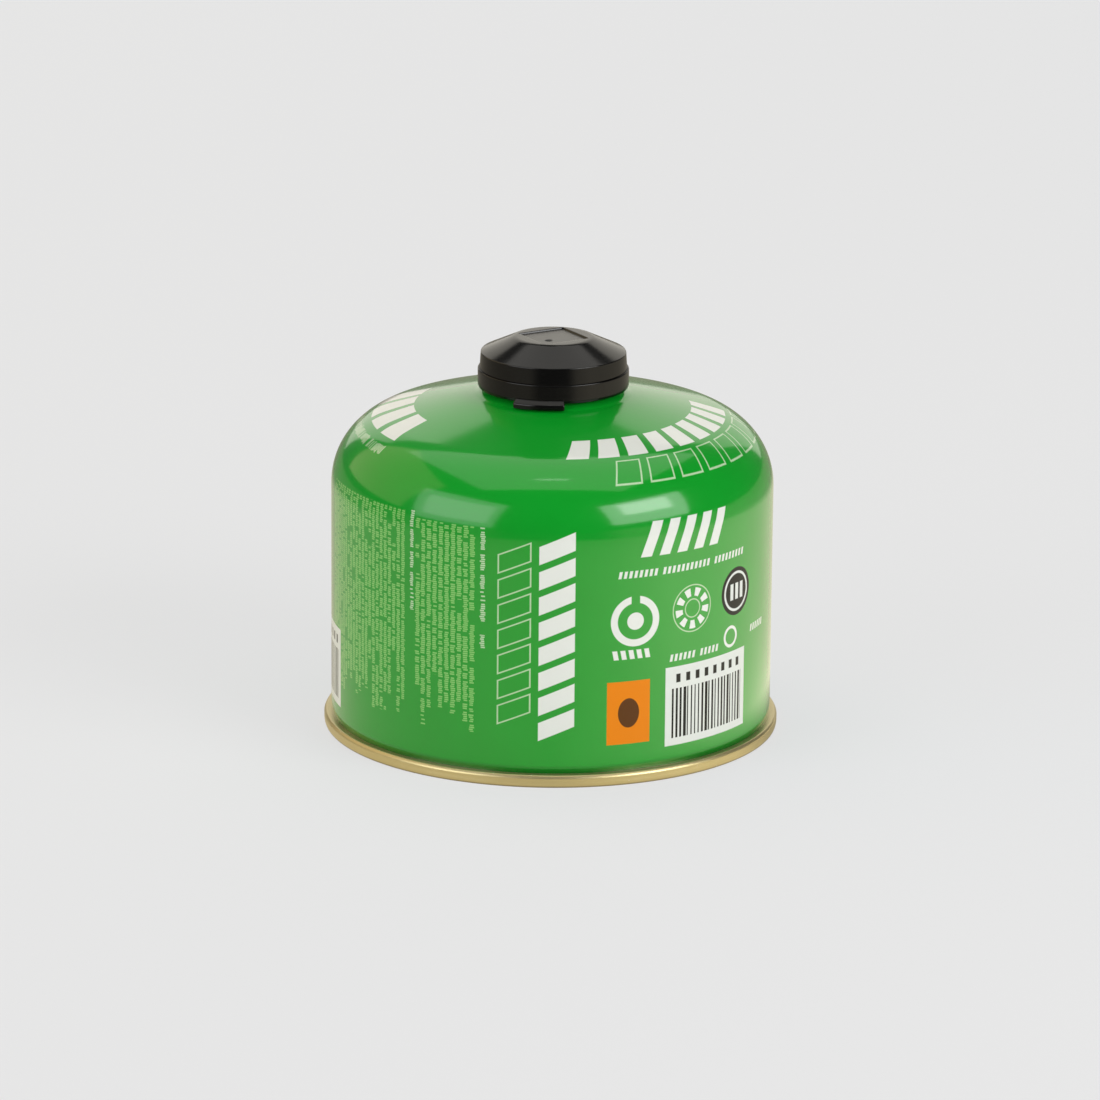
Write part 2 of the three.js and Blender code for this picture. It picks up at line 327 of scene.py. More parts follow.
sealPoints = turnedPoints(sealProfile(sealLook), sealLook["sides"])
mouthSeal = makePiece(
    "mouthSeal", [gridFaces(sealPoints, closedLine=True)], "canister", ["turret_seal"]
)

stemLook = {
    "sides": 96,
    "foot": 81.85,
    "tip": 0.9,
    "shank": 1.3,
    "head": 3.5,
    "headLow": 87.25,
    "headHigh": 88.65,
    "dish": 0.35,
    "dishRadius": 1.2,
    "axis": 0.1,  # radius of the last ring before the middle point
}


def stemProfile(look):
    # a pointed shank under a flat head, with a shallow dish in the head where the pin lands
    foot, low, high, axis = look["foot"], look["headLow"], look["headHigh"], look["axis"]
    dishFloor = high - look["dish"]
    return softCorners(
        [(axis, foot), (look["tip"], foot), (look["shank"], foot + 0.4), (look["shank"], low),
         (look["head"], low), (look["head"], high), (look["dishRadius"], high),
         (look["dishRadius"] - 0.5, dishFloor), (axis, dishFloor)],
        [0, 0.1, 0.2, 0.2, 0.2, 0.2, 0.15, 0.15, 0],
    )


stemPoints = turnedPoints(stemProfile(stemLook), stemLook["sides"])
pressStem = makePiece(
    "pressStem", [gridFaces(stemPoints, poles=True)], "stem", ["valve_stem"]
)


# the cap: one black moulding with a step round its skirt, a sloping top, a sunk square and a lift tab

capLook = {
    "sides": 288,
    "foot": 83.8,
    "step": 88.2,
    "shoulder": 92.2,
    "top": 95.97,
    "rimRadius": 18.15,
    "bandRadius": 17.7,
    "shoulderRadius": 17.45,
    "topRadius": 9.3,
    "wall": 1.4,
    "ringRadius": shellLook["curlCentre"][0],
    "ringWall": 0.8,
    "ringFoot": 87.0,
    "bead": 0.2,
    "squareHalf": 6.1,
    "squareTurn": 0.54,  # radians
    "squareDepth": 0.4,
    "dimple": (-1.2, -3.1, 0.95, 0.4),  # x, y, radius, depth
}


def capRows(look):
    # One row of (round radius, square reach, height) for each ring of the moulding, from the middle of the
    # ceiling inside, down to the foot and up over the outside to the middle of the sunk square.
    foot, step, shoulder, top = look["foot"], look["step"], look["shoulder"], look["top"]
    slope = (top - shoulder) / (look["shoulderRadius"] - look["topRadius"])
    wallRise = look["wall"] / math.cos(math.atan(slope))
    under = lambda r: shoulder + slope * (look["shoulderRadius"] - r) - wallRise
    ceiling = top - look["wall"]
    flatEnd = look["shoulderRadius"] - (ceiling + wallRise - shoulder) / slope
    skirt = look["rimRadius"] - look["wall"]
    inRing, outRing = look["ringRadius"] - look["ringWall"] / 2, look["ringRadius"] + look["ringWall"] / 2
    innerShoulder = look["shoulderRadius"] - look["wall"]
    line = softCorners(
        [(0.3, ceiling), (flatEnd, ceiling), (inRing, under(inRing)), (inRing, look["ringFoot"]),
         (outRing, look["ringFoot"]), (outRing, under(outRing)), (innerShoulder, under(innerShoulder)),
         (skirt, step), (skirt, foot + 1.8), (skirt - look["bead"], foot + 0.9), (skirt, foot + 0.1),
         (skirt + 0.2, foot), (look["rimRadius"] - 0.15, foot), (look["rimRadius"], foot + 0.5),
         (look["rimRadius"], step - 0.1), (look["rimRadius"] - 0.1, step),
         (look["bandRadius"] - 0.03, step - 0.2), (look["bandRadius"] - 0.01, step + 0.2),
         (look["shoulderRadius"], shoulder), (look["topRadius"], top), (look["topRadius"] - 0.75, top)],
        [0, 0.3, 0.2, 0.15, 0.15, 0.2, 0.6, 0.3, 0.2, 0.2, 0.05,
         0.1, 0.12, 0.25, 0.12, 0.06, 0.06, 0.1, 0.18, 0.7, 0],
        steps=8,
    )
    line = noLongSteps(line, 0.8)
    rounds = np.stack([line[:, 0], np.zeros(len(line)), line[:, 1]], axis=1)
    half, depth = look["squareHalf"], look["squareDepth"]
    s = np.linspace(0, 1, 6)[1:, None]
    last = rounds[-1]
    toSquare = last + (np.array([0, half + 0.16, top]) - last) * s
    edge = [(0, half + 0.06, top - 0.03), (0, half + 0.01, top - 0.1), (0, half, top - depth + 0.06),
            (0, half - 0.05, top - depth), (0, half - 0.12, top - depth)]
    share = np.linspace(1, 0.01, 34)[1:]
    floor = np.stack([0 * share, (half - 0.12) * share, 0 * share + top - depth], axis=1)
    return np.concatenate([rounds, toSquare, edge, floor])


def capPoints(look):
    # radius = round part + square part / max(|cos|, |sin|) of the angle from the square's side,
    # and the square's floor sinks by depth x (1 - (distance / radius)^2) inside the dimple
    rows = capRows(look)
    round360 = np.linspace(0, 2 * np.pi, look["sides"], endpoint=False)[None, :]
    angle = look["squareTurn"] + math.pi / 4 + round360
    fromSide = angle - look["squareTurn"]
    reach = 1 / np.maximum(abs(np.cos(fromSide)), abs(np.sin(fromSide)))
    radius = rows[:, :1] + rows[:, 1:2] * reach
    height = rows[:, 2:] + 0 * angle
    x, y = radius * np.cos(angle), radius * np.sin(angle)
    dimpleX, dimpleY, dimpleRadius, dimpleDepth = look["dimple"]
    away = ((x - dimpleX) ** 2 + (y - dimpleY) ** 2) / dimpleRadius**2
    onTop = (rows[:, 1:2] > 0) & (rows[:, 2:] < look["top"] - 0.2)
    height = height - onTop * dimpleDepth * np.clip(1 - away**2, 0, 1)
    return np.stack([x, y, height], axis=2)


tabLook = {
    "turn": -1.754,  # radians from +X
    "width": 12.6,
    "outer": 19.65,
    "drop": 1.35,
    "lip": 1.0,
    "root": 0.9,
    "rounding": 0.3,
    "columns": 40,
}


def tabPart(look, cap):
    # a closed section in (radius, height) carried round the skirt, shrinking to its middle over the last
    # rounding at either end by a quarter circle, with a flat closing face
    foot, rim = cap["foot"], cap["rimRadius"]
    deep = rim - 0.7
    section = softCorners(
        [(deep, foot + 0.4), (deep, foot + 0.1), (look["outer"] - look["lip"], foot - look["drop"]),
         (look["outer"], foot - look["drop"]), (look["outer"], foot - 0.1), (rim + 0.1, foot + look["root"]),
         (deep, foot + look["root"]), (deep, foot + 0.5)],
        [0, 0.1, 0.25, 0.3, 0.3, 0.3, 0.1, 0],
        steps=5,
    )
    halfTurn = math.asin(look["width"] / 2 / look["outer"])
    share = np.sin(np.linspace(-math.pi / 2, math.pi / 2, look["columns"]))
    angle = look["turn"] + halfTurn * share
    fromEnd = halfTurn * look["outer"] * (1 - abs(share))
    near = np.clip(1 - fromEnd / look["rounding"], 0, 1)
    shrink = (1 - 0.25 * (1 - np.sqrt(1 - near**2)))[:, None]
    middle = section.mean(axis=0)
    radius = middle[0] + (section[None, :, 0] - middle[0]) * shrink
    height = middle[1] + (section[None, :, 1] - middle[1]) * shrink
    around = angle[:, None]
    points = np.stack([radius * np.cos(around), radius * np.sin(around), height], axis=2)
    rows, columns = points.shape[:2]
    index = np.arange(rows * columns).reshape(rows, columns)
    after = np.roll(index, -1, axis=1)
    faces = np.stack([index[:-1], index[1:], after[1:], after[:-1]], axis=2).reshape(-1, 4).tolist()
    faces += [index[0].tolist(), index[-1][::-1].tolist()]
    return points.reshape(-1, 3), faces


capParts = [gridFaces(capPoints(capLook), poles=True), tabPart(tabLook, capLook)]
capMoulding = makePiece("capMoulding", capParts, "cap", ["cap"])


# finishes: sums on sockets are written as sums

class Flow:
    def __init__(self, tree, socket=None):
        self.tree, self.socket = tree, socket

    def node(self, kind, settings=None, sockets=None, out=0):
        made = self.tree.nodes.new(kind)
        for key, value in (settings or {}).items():
            if key == "stops":
                ramp = made.color_ramp.elements
                while len(ramp) < len(value):
                    ramp.new(0.5)
                for element, (place, colour) in zip(ramp, value):
                    element.position, element.color = place, colour
            else:
                setattr(made, key, value)
        for key, value in (sockets or {}).items():
            if isinstance(value, Flow):
                self.tree.links.new(value.socket, made.inputs[key])
            else:
                made.inputs[key].default_value = value
        return Flow(self.tree, made.outputs[out])

    def sum(self, operation, *terms, clamp=False):
        settings = {"operation": operation, "use_clamp": clamp}
        return self.node("ShaderNodeMath", settings, dict(enumerate(terms)))

    def __add__(self, other):
        return self.sum("ADD", self, other)

    def __sub__(self, other):
        return self.sum("SUBTRACT", self, other)

    def __mul__(self, other):
        return self.sum("MULTIPLY", self, other)

    def __truediv__(self, other):
        return self.sum("DIVIDE", self, other)

    def __rsub__(self, other):
        return self.sum("SUBTRACT", other, self)

    def __abs__(self):
        return self.sum("ABSOLUTE", self)

    def __gt__(self, other):
        return self.sum("GREATER_THAN", self, other)

    def __lt__(self, other):
        return self.sum("LESS_THAN", self, other)

    __radd__ = __add__
    __rmul__ = __mul__

    def most(self, other):
        return self.sum("MAXIMUM", self, other)

    def least(self, other):
        return self.sum("MINIMUM", self, other)

    def floor(self):
        return self.sum("FLOOR", self)

    def fraction(self):
        return self.sum("FRACT", self)

    def over(self, mask, colour):
        # this colour, with another laid over it where the mask is 1
        return mixOf(self, mask, self, colour)


def startFinish(name):
    material = bpy.data.materials.new(name)
    material.use_nodes = True
    tree = material.node_tree
    shader = next(n for n in tree.nodes if n.type == "BSDF_PRINCIPLED")
    return material, Flow(tree), shader


def linkTo(shader, name, flow):
    flow.tree.links.new(flow.socket, shader.inputs[name])


def placeIn(flow):
    # object coordinates in millimetres: x, y, z, radius, angle from the front, and the vector itself
    here = flow.node("ShaderNodeTexCoord", out=3)
    scaled = flow.node("ShaderNodeVectorMath", {"operation": "SCALE"}, {0: here, "Scale": 1 / mm})
    parts = [flow.node("ShaderNodeSeparateXYZ", None, {0: scaled}, out=i) for i in range(3)]
    x, y, z = parts
    radius = (x * x + y * y).sum("SQRT", x * x + y * y)
    angle = x.sum("ARCTAN2", x, y * -1)
    return x, y, z, radius, angle, scaled


def noiseOf(vector, scale, detail=3, roughness=0.55):
    return vector.node("ShaderNodeTexNoise", {"noise_dimensions": "3D"},
                       {"Vector": vector, "Scale": scale, "Detail": detail, "Roughness": roughness})


def mixOf(flow, factor, first, second):
    return flow.node("ShaderNodeMix", {"data_type": "RGBA"}, {0: factor, 6: first, 7: second}, out=2)


def bumpOf(flow, strength, distance, height):
    # the distance is in mm
    sockets = {"Strength": strength, "Distance": distance * mm, "Height": height}
    return flow.node("ShaderNodeBump", None, sockets)


def diceOf(flow, number):
    # a random value from 0 to 1 that is the same for the same number
    return flow.node("ShaderNodeTexWhiteNoise", {"noise_dimensions": "1D"}, {"W": number})


def inside(distance, soft=0.14):
    # 1 inside a signed distance in mm, 0 outside it, with a soft edge
    return distance.sum("MULTIPLY_ADD", distance, -1 / soft, 0.5, clamp=True)


def boxDistance(u, v, low, high):
    middle = [(a + b) / 2 for a, b in zip(low, high)]
    half = [(b - a) / 2 for a, b in zip(low, high)]
    return (abs(u - middle[0]) - half[0]).most(abs(v - middle[1]) - half[1])


def discDistance(u, v, middle, radius):
    du, dv = u - middle[0], v - middle[1]
    square = du * du + dv * dv
    return square.sum("SQRT", square) - radius


def barDistance(along, across, start, pitch, count, fill, low, high, lean=0.0):
    # a row of equal leaning bars: signed distance to the nearest one
    p = along + (across - low) * lean - start
    cell = (p / pitch).fraction() * pitch
    inRow = (p - pitch * count).most(p * -1)
    bar = (abs(cell - pitch / 2) - fill * pitch / 2).most(abs(across - (low + high) / 2) - (high - low) / 2)
    return bar.most(inRow)


dashLook = {
    "stroke": 0.5,  # length of one cross stroke with its gap
    "inked": 0.36,  # half the share of that length which has ink
    "strokesOut": 0.12,  # share of the strokes left out
    "group": 3.3,  # length of a group of strokes
    "groupsOut": 0.04,
    "groupStep": 0.37,  # how far the groups of the next line are moved along
    "wander": 0.18,  # how far a stroke lies off its line, as a share of the pitch
    "thin": 0.05,
    "thick": 0.14,
    "ragged": 0.3,  # how much of its length a line may lack at its low end
}


def fineDashes(flow, along, across, low, high, lineStart, lineEnd, pitch, seed, tall=0.62):
    # Thin broken lines: "across" counts the lines and "along" runs down each. Dice leave out some strokes and
    # groups of strokes, move and thicken the others, and leave the low ends ragged.
    look = dashLook
    line, stroke = (across - lineStart) / pitch, along / look["stroke"]
    count = line.floor()
    number = stroke.floor() + count * 71.0 + seed
    lift = (diceOf(flow, number + 0.31) - 0.5) * look["wander"]
    thickness = diceOf(flow, number + 0.57) * look["thick"] + (tall / 2 - look["thin"])
    inLine = abs(line.fraction() - 0.5 + lift) < thickness
    kept = diceOf(flow, number) > look["strokesOut"]
    inked = abs(stroke.fraction() - 0.5) < look["inked"]
    group = (along / look["group"] + count * look["groupStep"]).floor() + count * 37.0 + seed
    groupKept = diceOf(flow, group) > look["groupsOut"]
    ragged = diceOf(flow, count + seed)
    ragged = ragged * ragged * look["ragged"] * (high - low)
    box = (boxDistance(along, across, (low, lineStart), (high, lineEnd)) < 0) * (along > ragged + low)
    return inLine * kept * inked * groupKept * box


def strongest(masks):
    # the highest of several masks
    result = masks[0]
    for mask in masks[1:]:
        result = result.most(mask)
    return result


# the print: plain bars, rings, broken lines, a striped panel and an orange square, all round the can

inkLook = {
    "white": (0.72, 0.75, 0.71, 1),
    "pale": (0.48, 0.66, 0.42, 1),
    "fine": (0.20, 0.52, 0.13, 1),
    "black": (0.012, 0.013, 0.012, 1),
    "orange": (0.76, 0.22, 0.004, 1),
    "umber": (0.10, 0.035, 0.006, 1),
}

# Places on the wall are (distance round it from the front, height). A row of bars has a start, a pitch and a
# count, the share of the pitch that a bar fills, a low and a high edge, and how much it leans.
wallRow = {"pitch": 6.15, "fill": 0.72, "lean": -0.42}
crownRow = {"pitch": 7.4, "lean": 0.3}
printLook = {
    "wallRadius": shellLook["wallRadius"],
    "edge": 0.6,  # how far inside the wall's radius its print ends
    # columns of fine lines: low and high end, first and last place round the wall, pitch, seed, thickness
    "columns": ((12.0, 62.4, -34.6, -18.2, 1.64, 3.0), (12.5, 63.6, -72.0, -37.4, 1.5, 23.0)),
    "backColumns": (13.0, 64.0, 126.0, 160.0, 1.64, 51.0),
    "heads": ((30.0, 62.4, -17.2, -15.6, 1.6, 9.0, 0.6), (34.0, 64.0, -36.2, -34.8, 1.4, 13.0, 0.6)),
    # rows of small ticks: start, count and foot
    "tickRows": ((15.6, 8, 50.2), (27.0, 11, 50.2), (42.6, 9, 50.2),
                 (29.2, 6, 28.4), (38.2, 5, 28.4), (58.2, 6, 29.8)),
    "tick": {"pitch": 1.3, "fill": 0.56, "lean": -0.2},
    "tickHeight": 1.7,
    "bars": {**wallRow, "start": 10.2, "count": 8, "low": -2.9, "high": 5.6},
    "outlines": {**wallRow, "start": 14.0, "count": 7, "low": -12.6, "high": -4.9},
    "heading": {"start": 20.4, "pitch": 4.9, "count": 5, "fill": 0.58,
                "low": 55.0, "high": 63.4, "lean": -0.38},
    "backBars": {"low": 93.0, "high": 102.0},
    "backOutlines": {"low": 104.0, "high": 112.0},
    "backHeading": {"start": -121.0, "low": 52.0, "high": 61.0},
    "stroke": 0.17,  # half the width of an outline
    "hubRing": {"middle": (20.3, 39.6), "radius": 5.3, "half": 0.85, "hub": 2.1},
    "hubNotch": ((19.2, 42.5), (21.4, 46.5)),
    "underRing": {"start": 14.6, "pitch": 2.0, "count": 5, "fill": 0.6,
                  "low": 30.4, "high": 32.6, "lean": 0.2},
    "spokeRing": {"middle": (36.0, 40.6), "radius": 4.0, "half": 1.0, "spokes": 9, "spoke": 0.27},
    "spokeLines": (5.7, 2.2),  # radii of the thin lines outside and inside it
    "ringStroke": 0.14,
    "smallRing": {"middle": (49.4, 30.8), "radius": 2.3, "half": 0.36},
    "disc": {"middle": (51.6, 41.6), "radius": 5.9, "ring": 4.6, "half": 0.3},
    "discBars": {"start": 48.7, "pitch": 2.0, "count": 3, "fill": 0.6, "low": 39.6, "high": 43.6},
    "panel": {"low": (28.4, 7.6), "high": (55.6, 27.0), "side": 1.7, "foot": 1.8, "head": 5.4,
              "stripe": 1.12},
    "panelShifts": (0.0, -122.0),
    "panelTicks": {"pitch": 2.9, "count": 8, "fill": 0.42},
    "square": ((13.4, 9.6), (24.2, 25.0)),
    "lens": {"middle": (18.8, 17.2), "radius": 3.6, "narrow": 1.35},
    # on the crown the distance is measured at a fixed radius, and low and high are radii
    "crownRadius": 40.0,
    "crownBars": {**crownRow, "start": 4.4, "count": 9, "fill": 0.7, "low": 33.2, "high": 41.4},
    "crownLines": {**crownRow, "start": 13.2, "count": 8, "fill": 0.72, "low": 43.0, "high": 48.6},
    "crownLeft": {"start": -84.0, "pitch": 10.2, "count": 4, "fill": 0.74,
                  "low": 33.4, "high": 43.6, "lean": -0.3},
    "crownDashes": (-84.0, -48.0, 45.4, 47.8, 2.4, 91.0, 0.7),
    "crownDashRadius": 46.0,
    "crownEnd": 50.5,
}


def smallPrint(flow, u, z, onWall, colour):
    # blocks of fine lines on the left of the front, a brighter line beside each, more at the back, and ticks
    look = printLook
    columns = strongest([fineDashes(flow, z, u, *column) for column in look["columns"]]
                        + [fineDashes(flow, z, abs(u), *look["backColumns"])])
    heads = strongest([fineDashes(flow, z, u, *head) for head in look["heads"]])
    rows = [{**look["tick"], "start": start, "count": count, "low": low, "high": low + look["tickHeight"]}
            for start, count, low in look["tickRows"]]
    ticks = strongest([inside(barDistance(u, z, **row)) for row in rows])
    colour = colour.over(columns * onWall, inkLook["fine"])
    colour = colour.over(heads * onWall * 0.9, inkLook["pale"])
    return colour.over(ticks * onWall * 0.95, inkLook["white"])


def barsAndRings(u, z, onWall, colour):
    # leaning bars, whole and in outline, in front and again at the back; a heading of thin slanted bars;
    # a ring with a notch and a hub, a ring of spokes between two lines, a small ring and a row of bars
    look = printLook
    outlines = look["outlines"], {**look["outlines"], **look["backOutlines"]}
    bars = look["bars"], {**look["bars"], **look["backBars"]}
    headings = look["heading"], {**look["heading"], **look["backHeading"]}
    lines = [abs(barDistance(z, u, **row)) - look["stroke"] for row in outlines]
    white = [barDistance(z, u, **row) for row in bars] + [barDistance(u, z, **row) for row in headings]
    white.append(barDistance(u, z, **look["underRing"]))
    ring = look["hubRing"]
    band = abs(discDistance(u, z, ring["middle"], ring["radius"])) - ring["half"]
    white.append(band.most(boxDistance(u, z, *look["hubNotch"]) * -1))
    white.append(discDistance(u, z, ring["middle"], ring["hub"]))
    ring = look["smallRing"]
    white.append(abs(discDistance(u, z, ring["middle"], ring["radius"])) - ring["half"])
    ring = look["spokeRing"]
    lines += [abs(discDistance(u, z, ring["middle"], r)) - look["ringStroke"] for r in look["spokeLines"]]
    across, up = u - ring["middle"][0], z - ring["middle"][1]
    turn = across.sum("ARCTAN2", across, up) * (ring["spokes"] / (2 * math.pi))
    spokes = inside(abs(discDistance(u, z, ring["middle"], ring["radius"])) - ring["half"])
    spokes = spokes * (abs(turn.fraction() - 0.5) < ring["spoke"])
    colour = colour.over(strongest([inside(line) for line in lines]) * onWall * 0.9, inkLook["pale"])
    return colour.over(strongest([inside(shape) for shape in white] + [spokes]) * onWall, inkLook["white"])


def mattLabels(flow, u, z, onWall, colour):
    # a black disc with a ring and three bars, the striped panel in front and again on the left, and the
    # orange square with a dark lens. The second value that comes back is 1 on these matt inks.
    look = printLook
    disc = look["disc"]
    matt = inside(discDistance(u, z, disc["middle"], disc["radius"]))
    colour = colour.over(matt * onWall, inkLook["black"])
    mark = inside(abs(discDistance(u, z, disc["middle"], disc["ring"])) - disc["half"])
    mark = mark.most(inside(barDistance(u, z, **look["discBars"])))
    colour = colour.over(mark * onWall, inkLook["white"])
    panel = look["panel"]
    for shift in look["panelShifts"]:
        (left, foot), (right, head) = panel["low"], panel["high"]
        left, right = left + shift, right + shift
        sheet = inside(boxDistance(u, z, (left, foot), (right, head)))
        inner = (left + panel["side"], foot + panel["foot"]), (right - panel["side"], head - panel["head"])
        stripe = u / panel["stripe"]
        stripes = stripe.fraction() < diceOf(flow, stripe.floor() + 7.0) * 0.6 + 0.22  # thin to thick
        stripes = stripes * (boxDistance(u, z, *inner) < 0)
        row = {**look["panelTicks"], "start": left + 2.2, "low": head - 4.0, "high": head - 1.9}
        ticks = inside(barDistance(u, z, **row))
        colour = colour.over(sheet * onWall, inkLook["white"])
        colour = colour.over(stripes.most(ticks) * onWall, inkLook["black"])
        matt = matt.most(sheet)
    square = inside(boxDistance(u, z, *look["square"]))
    colour = colour.over(square * onWall, inkLook["orange"])
    lens = look["lens"]
    narrow = u * lens["narrow"] - lens["middle"][0] * (lens["narrow"] - 1)
    oval = inside(discDistance(narrow, z, lens["middle"], lens["radius"]))
    colour = colour.over(oval * onWall, inkLook["umber"])
    return colour, matt.most(square) * onWall


def crownPrint(flow, radius, angle, colour):
    # two arcs of leaning bars, a row in outline outside the longer one and a few broken lines
    look = printLook
    arc = angle * look["crownRadius"]
    onCrown = radius < look["crownEnd"]
    white = strongest([inside(barDistance(arc, radius, **look[row])) for row in ("crownBars", "crownLeft")])
    line = inside(abs(barDistance(arc, radius, **look["crownLines"])) - look["stroke"])
    dashes = fineDashes(flow, angle * look["crownDashRadius"], radius, *look["crownDashes"])
    colour = colour.over(line * onCrown * 0.9, inkLook["pale"])
    colour = colour.over(white * onCrown, inkLook["white"])
    return colour.over(dashes * onCrown * 0.9, inkLook["pale"])


def printOn(flow, z, radius, angle, colour):
    # later layers lie over earlier ones
    u = angle * printLook["wallRadius"]
    onWall = radius > printLook["wallRadius"] - printLook["edge"]
    colour = smallPrint(flow, u, z, onWall, colour)
    colour = barsAndRings(u, z, onWall, colour)
    colour, matt = mattLabels(flow, u, z, onWall, colour)
    return crownPrint(flow, radius, angle, colour), matt


lacquerLook = {
    "deep": (0.001, 0.275, 0.014, 1),
    "light": (0.003, 0.31, 0.020, 1),
    # painted shade: the dark green laid in the corner over the seam
    "corner": (0.003, 0.085, 0.006, 1),
    "seamShadeTop": 4.1,  # the painted shade in the corner over the seam ends at this height
    "seamShadeSoft": 1.7,
    "rubbedTop": 5.0,
    "rubbedShare": 0.80,  # noise above this is rubbed bare
    "curlRadius": 15.7,
    "curlFoot": 83.9,
    "roughness": 0.34,
    "specular": 0.05,
    "coatRoughness": 0.11,
    "mattCoat": 0.75,  # how much of the coat the matt inks lack
    "tin": (0.56, 0.56, 0.54, 1),
}


def greenLacquer(look):
    material, flow, shader = startFinish("greenLacquer")
    x, y, z, radius, angle, place = placeIn(flow)
    cloud = noiseOf(place, 0.05, 2)
    fine = noiseOf(place, 1.4, 4)
    colour = mixOf(flow, cloud, look["deep"], look["light"])
    colour, matt = printOn(flow, z, radius, angle, colour)
    # painted shade darkens the corner over the seam; the curl under the cup is bare tin
    colour = colour.over(inside(z - look["seamShadeTop"], look["seamShadeSoft"]) * 0.8, look["corner"])
    rubbed = inside(z - look["rubbedTop"], 1.4) * (fine > look["rubbedShare"])
    bare = rubbed.most(inside(radius - look["curlRadius"], 0.3) * (z > look["curlFoot"]))
    colour = colour.over(bare, look["tin"])
    linkTo(shader, "Base Color", colour)
    linkTo(shader, "Metallic", bare * 0.9)
    linkTo(shader, "Roughness", cloud * 0.10 + fine * 0.06 + (look["roughness"] - 0.08) + bare * 0.15)
    linkTo(shader, "Coat Weight", 1 - bare.most(matt * look["mattCoat"]))
    shader.inputs["Specular IOR Level"].default_value = look["specular"]
    shader.inputs["Coat Roughness"].default_value = look["coatRoughness"]
    shader.inputs["Coat IOR"].default_value = 1.5
    linkTo(shader, "Normal", bumpOf(flow, 0.05, 0.2, noiseOf(place, 0.55, 2) + fine * 0.2))
    return material


goldLook = {
    "gold": (0.50, 0.41, 0.18, 1),
    "pale": (0.62, 0.54, 0.31, 1),
    "worn": (0.74, 0.73, 0.70, 1),
    "wornShare": 0.72,  # noise above this is worn
    "seamTop": 2.9,  # where the seam wears most
    # painted shade: dark brown for the seam's foot where it stands on the table
    "footShade": (0.05, 0.035, 0.02, 1),
    "footShadeTop": 0.3,
    "metallic": 0.85,
    "roughness": 0.34,
}


def goldTin(look):
    material, flow, shader = startFinish("goldTin")
    x, y, z, radius, angle, place = placeIn(flow)
    # fine lines round the axis, from rolling: noise read at (angle, height, radius) with the angle stretched
    round3 = flow.node("ShaderNodeCombineXYZ", None, {0: angle * 1.4, 1: z * 5.0, 2: radius * 5.0})
    lines = noiseOf(round3, 1.0, 3)
    cloud = noiseOf(place, 0.12, 3)
    spots = noiseOf(place, 1.1, 5)
    colour = mixOf(flow, lines * 0.6 + cloud * 0.4, look["gold"], look["pale"])
    worn = (spots + inside(abs(z - look["seamTop"]), 0.7) * 0.08) > look["wornShare"]
    colour = colour.over(worn * 0.7, look["worn"])
    # painted shade: the seam's foot is darkened where it stands on the table
    colour = colour.over(inside(z - look["footShadeTop"], 0.5) * 0.8, look["footShade"])
    linkTo(shader, "Base Color", colour)
    shader.inputs["Metallic"].default_value = look["metallic"]
    linkTo(shader, "Roughness", lines * 0.14 + spots * 0.1 + (look["roughness"] - 0.1))
    linkTo(shader, "Normal", bumpOf(flow, 0.12, 0.1, lines))
    return material


capFinishLook = {
    "black": (0.0014, 0.0014, 0.0014, 1),
    "dusty": (0.075, 0.075, 0.073, 1),
    "roughness": 0.15,
    "specular": 0.36,
}


def blackMoulding(look):
    # gloss black, and a duller grained square on top with a black hole in it
    material, flow, shader = startFinish("blackMoulding")
    x, y, z, radius, angle, place = placeIn(flow)
    turn = capLook["squareTurn"]
    p = x * math.cos(turn) + y * math.sin(turn)
    q = y * math.cos(turn) - x * math.sin(turn)
    square = inside(abs(p).most(abs(q)) - capLook["squareHalf"] + 0.1) * (z > capLook["top"] - 0.8)
    hole = inside(discDistance(x, y, capLook["dimple"][:2], capLook["dimple"][2] * 0.8), 0.3)
    square = square * (1 - hole)
    cloud = noiseOf(place, 0.16, 3)
    grain = noiseOf(place, 3.4, 3)
    rub = noiseOf(place, 1.3, 6, 0.65)
    linkTo(shader, "Base Color", mixOf(flow, square * 0.8 + cloud * 0.016, look["black"], look["dusty"]))
    shader.inputs["Specular IOR Level"].default_value = look["specular"]
    unevenness = hole * 0.5 + square * 0.14 + cloud * 0.06 + rub * 0.08
    linkTo(shader, "Roughness", unevenness + (look["roughness"] - 0.06))
    linkTo(shader, "Normal", bumpOf(flow, 0.06, 0.1, grain * (square * 1.2 + 0.1) + rub * 0.12))
    return material


# low and high colour, low and high roughness, metallic and the noise's scale
plainLooks = {
    "blackRubber": ((0.012, 0.012, 0.012, 1), (0.028, 0.028, 0.027, 1), 0.55, 0.8, 0.0, 1.6),
    "paleAcetal": ((0.66, 0.65, 0.60, 1), (0.74, 0.73, 0.69, 1), 0.35, 0.5, 0.0, 0.8),
    "springWire": ((0.50, 0.50, 0.50, 1), (0.66, 0.66, 0.65, 1), 0.2, 0.36, 1.0, 2.5),
}


def mottled(name):
    # one colour drifting to another with fine noise, and the roughness with it
    low, high, smooth, rough, metallic, scale = plainLooks[name]
    material, flow, shader = startFinish(name)
    speckle = noiseOf(placeIn(flow)[5], scale, 4)
    linkTo(shader, "Base Color", mixOf(flow, speckle, low, high))
    linkTo(shader, "Roughness", speckle * (rough - smooth) + smooth)
    shader.inputs["Metallic"].default_value = metallic
    linkTo(shader, "Normal", bumpOf(flow, 0.08, 0.1, speckle))
    return material


def dress(thing, material):
    thing.data.materials.clear()
    thing.data.materials.append(material)


gold = goldTin(goldLook)
rubber, acetal, wire = mottled("blackRubber"), mottled("paleAcetal"), mottled("springWire")
dress(canShell, greenLacquer(lacquerLook))
dress(bottomEnd, gold)
dress(threadedCup, gold)
dress(capMoulding, blackMoulding(capFinishLook))
dress(mouthSeal, rubber)
dress(pressStem, acetal)
nodeFinishes = {"cup_gasket": rubber, "valve_housing": acetal, "valve_spring": wire}
for nodeName, finish in nodeFinishes.items():
    dress(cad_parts[nodeName], finish)
print("finishes made")


# table, lamps and the world

